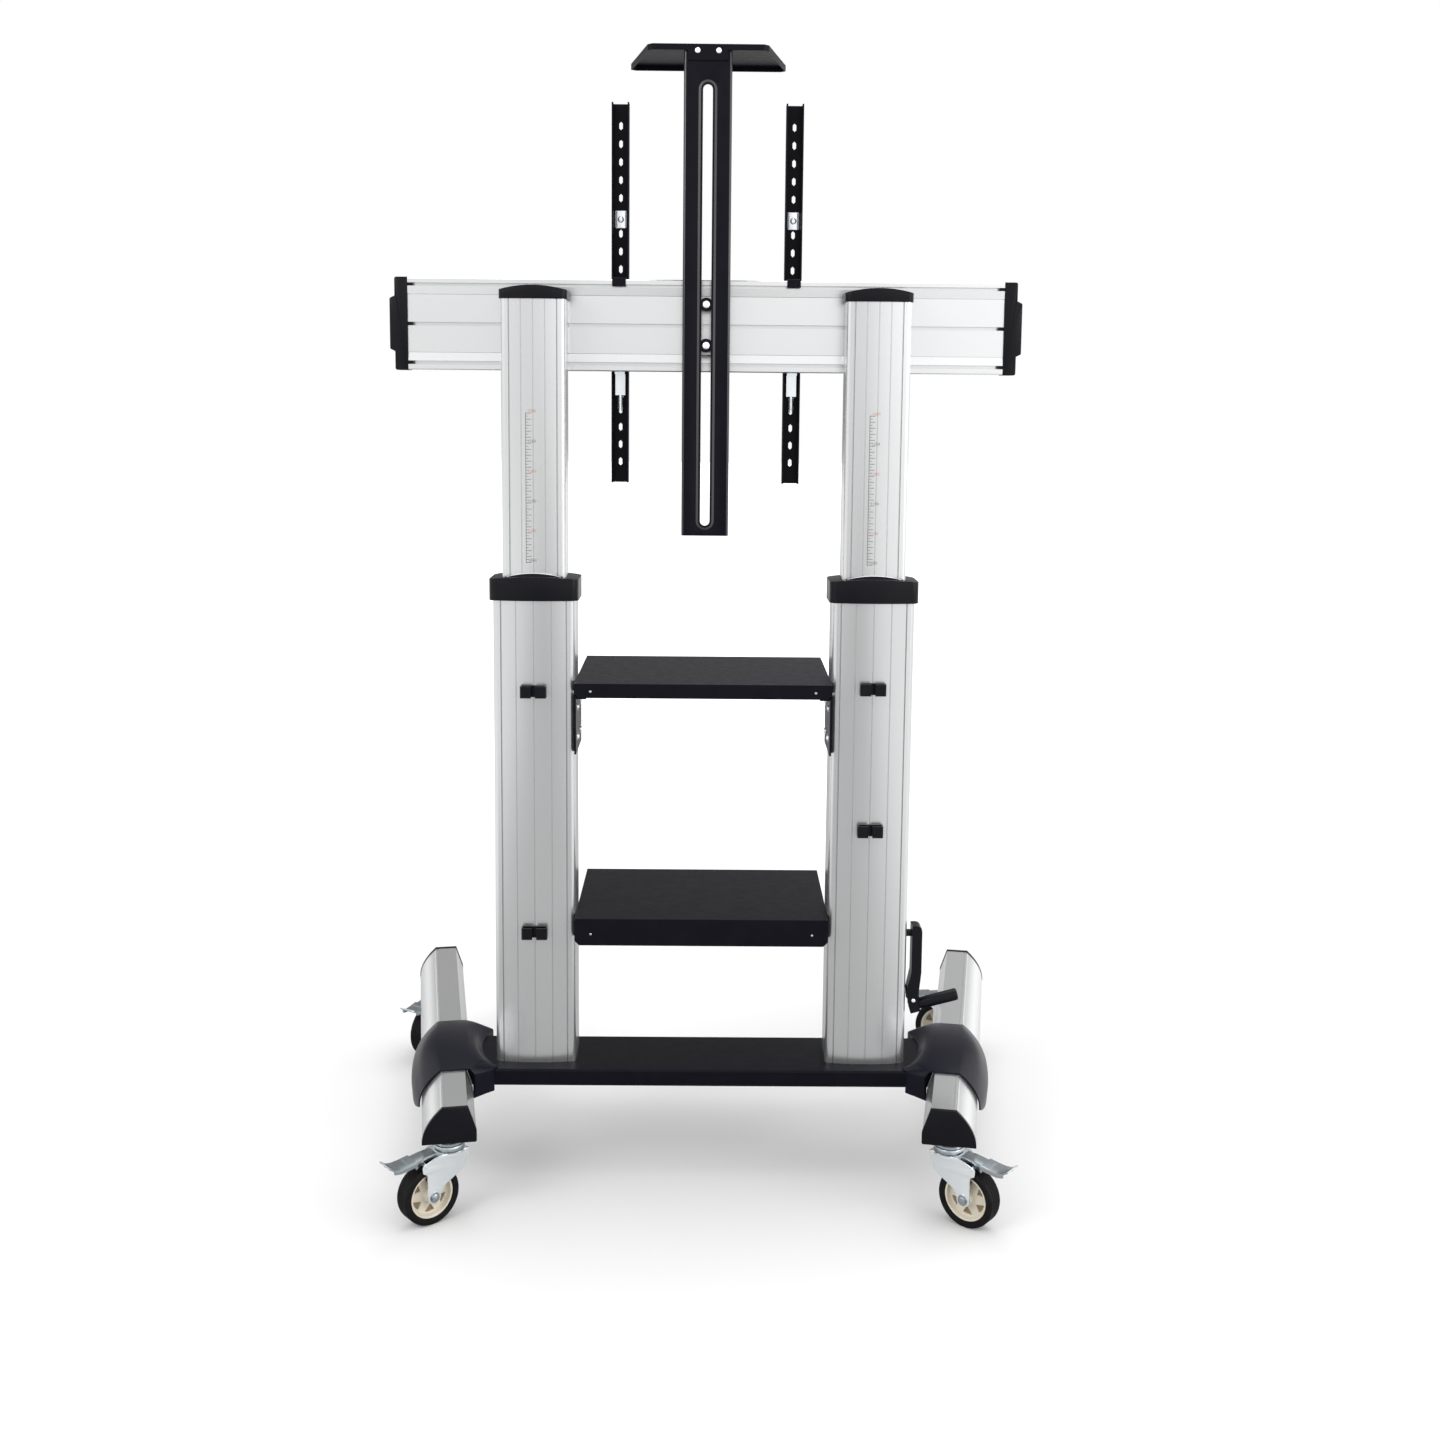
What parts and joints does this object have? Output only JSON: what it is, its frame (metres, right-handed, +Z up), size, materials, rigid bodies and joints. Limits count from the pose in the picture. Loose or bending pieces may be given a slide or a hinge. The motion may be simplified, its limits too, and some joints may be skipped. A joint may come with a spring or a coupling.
{
  "type": "mobile tv stand",
  "caption": "Wheeled screen stand with crank-raised telescopic columns on splayed legs, a cross beam with sliding screen brackets, a camera mast and shelves for media devices.",
  "frame": {"origin": "On the floor, midway along the width and about midway along the depth of the whole stand.", "axes": "+Z is up, +Y points to the side that the screen faces, and +X runs along the beam towards the crank side."},
  "size_m": [1.1901, 0.8333, 1.9216],
  "materials": {
    "aluminium": "clear anodised, finely brushed along the extrusion",
    "black_steel": "black powder coat, satin",
    "black_plastic": "moulded black plastic, satin",
    "zinc": "bright zinc plate",
    "rubber": "black elastic tread",
    "nylon": "cream moulded nylon"
  },
  "bodies": {
    "base": {"base_tray": "black_steel", "leg_left": "aluminium", "leg_right": "aluminium", "leg_cover_left": "black_plastic", "leg_cover_right": "black_plastic", "leg_cap_rear_left": "black_plastic", "leg_cap_rear_right": "black_plastic", "leg_cap_front_left": "black_plastic", "leg_cap_front_right": "black_plastic", "caster_rear_left_race": "zinc", "caster_rear_right_race": "zinc", "caster_front_left_race": "zinc", "caster_front_right_race": "zinc", "outer_column_left": "aluminium", "outer_column_right": "aluminium", "collar_left": "black_plastic", "collar_right": "black_plastic", "lower_shelf": "black_steel", "cable_clip_upper_left": "black_plastic", "cable_clip_lower_left": "black_plastic", "cable_clip_upper_right": "black_plastic", "cable_clip_lower_right": "black_plastic"},
    "lift": {"inner_column_left": "aluminium", "inner_column_right": "aluminium", "column_cap_left": "black_plastic", "column_cap_right": "black_plastic", "beam": "aluminium", "beam_cap_left": "black_plastic", "beam_cap_right": "black_plastic"},
    "crank": {"crank_arm": "black_steel", "cross_shaft": "zinc"},
    "crank_knuckle": {"crank_knuckle": "black_plastic"},
    "crank_grip": {"crank_grip": "black_plastic"},
    "lead_screw_left": {"lead_screw_left": "zinc"},
    "lead_screw_right": {"lead_screw_right": "zinc"},
    "mast": {"camera_mast": "black_steel", "camera_shelf": "black_steel"},
    "upper_shelf": {"upper_shelf": "black_steel", "upper_shelf_bracket_left": "black_steel", "upper_shelf_bracket_right": "black_steel"},
    "screen_bracket_left": {"screen_bracket_left": "black_steel"},
    "bracket_latch_left": {"bracket_latch_left": "zinc"},
    "screen_bracket_right": {"screen_bracket_right": "black_steel"},
    "bracket_latch_right": {"bracket_latch_right": "zinc"},
    "caster_rear_left_swivel": {"caster_rear_left_fork": "zinc"},
    "caster_rear_left_wheel": {"caster_rear_left_hub": "nylon", "caster_rear_left_tyre": "rubber"},
    "caster_rear_left_brake": {"caster_rear_left_brake_lever": "zinc"},
    "caster_rear_right_swivel": {"caster_rear_right_fork": "zinc"},
    "caster_rear_right_wheel": {"caster_rear_right_hub": "nylon", "caster_rear_right_tyre": "rubber"},
    "caster_rear_right_brake": {"caster_rear_right_brake_lever": "zinc"},
    "caster_front_left_swivel": {"caster_front_left_fork": "zinc"},
    "caster_front_left_wheel": {"caster_front_left_hub": "nylon", "caster_front_left_tyre": "rubber"},
    "caster_front_left_brake": {"caster_front_left_brake_lever": "zinc"},
    "caster_front_right_swivel": {"caster_front_right_fork": "zinc"},
    "caster_front_right_wheel": {"caster_front_right_hub": "nylon", "caster_front_right_tyre": "rubber"},
    "caster_front_right_brake": {"caster_front_right_brake_lever": "zinc"}
  },
  "joints": [
    {"name": "crank_turn", "type": "hinge", "parent": "base", "child": "crank", "pos_m": [0, -0.1455, 0.422], "axis": [1, 0, 0], "range_deg": [-4140, 6660]},
    {"name": "lift_slide", "type": "slide", "parent": "base", "child": "lift", "axis": [0, 0, 1], "range_m": [-0.115, 0.185]},
    {"name": "lead_screw_left_turn", "type": "hinge", "parent": "base", "child": "lead_screw_left", "pos_m": [-0.2875, -0.1235, 0.422], "axis": [0, 0, 1], "range_deg": [-4140, 6660]},
    {"name": "lead_screw_right_turn", "type": "hinge", "parent": "base", "child": "lead_screw_right", "pos_m": [0.2875, -0.1235, 0.422], "axis": [0, 0, 1], "range_deg": [-4140, 6660]},
    {"name": "crank_grip_fold", "type": "hinge", "parent": "crank", "child": "crank_knuckle", "pos_m": [0.371, -0.1455, 0.304], "axis": [0, 1, 0], "range_deg": [-75, 15]},
    {"name": "crank_grip_spin", "type": "hinge", "parent": "crank_knuckle", "child": "crank_grip", "pos_m": [0.38258, -0.1455, 0.29364], "axis": [0.9659, 0, 0.2588], "continuous": true},
    {"name": "mast_slide", "type": "slide", "parent": "lift", "child": "mast", "axis": [0, 0, 1], "range_m": [-0.06, 0.2]},
    {"name": "upper_shelf_slide", "type": "slide", "parent": "base", "child": "upper_shelf", "axis": [0, 0, 1], "range_m": [-0.05, 0.05]},
    {"name": "screen_bracket_left_slide", "type": "slide", "parent": "lift", "child": "screen_bracket_left", "axis": [1, 0, 0], "range_m": [-0.342, 0.078]},
    {"name": "bracket_latch_left_slide", "type": "slide", "parent": "screen_bracket_left", "child": "bracket_latch_left", "axis": [0, 0, 1], "range_m": [-0.012, 0], "stiffness_N_per_m": 300, "springref_m": 0.004},
    {"name": "screen_bracket_right_slide", "type": "slide", "parent": "lift", "child": "screen_bracket_right", "axis": [1, 0, 0], "range_m": [-0.078, 0.342]},
    {"name": "bracket_latch_right_slide", "type": "slide", "parent": "screen_bracket_right", "child": "bracket_latch_right", "axis": [0, 0, 1], "range_m": [-0.012, 0], "stiffness_N_per_m": 300, "springref_m": 0.004},
    {"name": "caster_rear_left_swivel_turn", "type": "hinge", "parent": "base", "child": "caster_rear_left_swivel", "pos_m": [-0.41266, -0.33999, 0.118], "axis": [0, 0, 1], "continuous": true},
    {"name": "caster_rear_left_wheel_roll", "type": "hinge", "parent": "caster_rear_left_swivel", "child": "caster_rear_left_wheel", "pos_m": [-0.44374, -0.36516, 0.05], "axis": [0.6293, -0.7771, 0], "continuous": true},
    {"name": "caster_rear_left_brake_press", "type": "hinge", "parent": "caster_rear_left_swivel", "child": "caster_rear_left_brake", "pos_m": [-0.45462, -0.37397, 0.107], "axis": [0.6293, -0.7771, 0], "range_deg": [0, 14]},
    {"name": "caster_rear_right_swivel_turn", "type": "hinge", "parent": "base", "child": "caster_rear_right_swivel", "pos_m": [0.41266, -0.33999, 0.118], "axis": [0, 0, 1], "continuous": true},
    {"name": "caster_rear_right_wheel_roll", "type": "hinge", "parent": "caster_rear_right_swivel", "child": "caster_rear_right_wheel", "pos_m": [0.44374, -0.36516, 0.05], "axis": [0.6293, 0.7771, 0], "continuous": true},
    {"name": "caster_rear_right_brake_press", "type": "hinge", "parent": "caster_rear_right_swivel", "child": "caster_rear_right_brake", "pos_m": [0.45462, -0.37397, 0.107], "axis": [0.6293, 0.7771, 0], "range_deg": [0, 14]},
    {"name": "caster_front_left_swivel_turn", "type": "hinge", "parent": "base", "child": "caster_front_left_swivel", "pos_m": [-0.53734, 0.35999, 0.118], "axis": [0, 0, 1], "continuous": true},
    {"name": "caster_front_left_wheel_roll", "type": "hinge", "parent": "caster_front_left_swivel", "child": "caster_front_left_wheel", "pos_m": [-0.5555, 0.32435, 0.05], "axis": [0.891, -0.454, 0], "continuous": true},
    {"name": "caster_front_left_brake_press", "type": "hinge", "parent": "caster_front_left_swivel", "child": "caster_front_left_brake", "pos_m": [-0.56186, 0.31188, 0.107], "axis": [0.891, -0.454, 0], "range_deg": [0, 14]},
    {"name": "caster_front_right_swivel_turn", "type": "hinge", "parent": "base", "child": "caster_front_right_swivel", "pos_m": [0.53734, 0.35999, 0.118], "axis": [0, 0, 1], "continuous": true},
    {"name": "caster_front_right_wheel_roll", "type": "hinge", "parent": "caster_front_right_swivel", "child": "caster_front_right_wheel", "pos_m": [0.4993, 0.37235, 0.05], "axis": [-0.309, -0.9511, 0], "continuous": true},
    {"name": "caster_front_right_brake_press", "type": "hinge", "parent": "caster_front_right_swivel", "child": "caster_front_right_brake", "pos_m": [0.48599, 0.37668, 0.107], "axis": [-0.309, -0.9511, 0], "range_deg": [0, 14]}
  ],
  "couplings": [
    {"joint": "lift_slide", "follows": "crank_turn", "m_per_rad": 0.0015915},
    {"joint": "lead_screw_left_turn", "follows": "crank_turn", "ratio": 1},
    {"joint": "lead_screw_right_turn", "follows": "crank_turn", "ratio": 1}
  ]
}
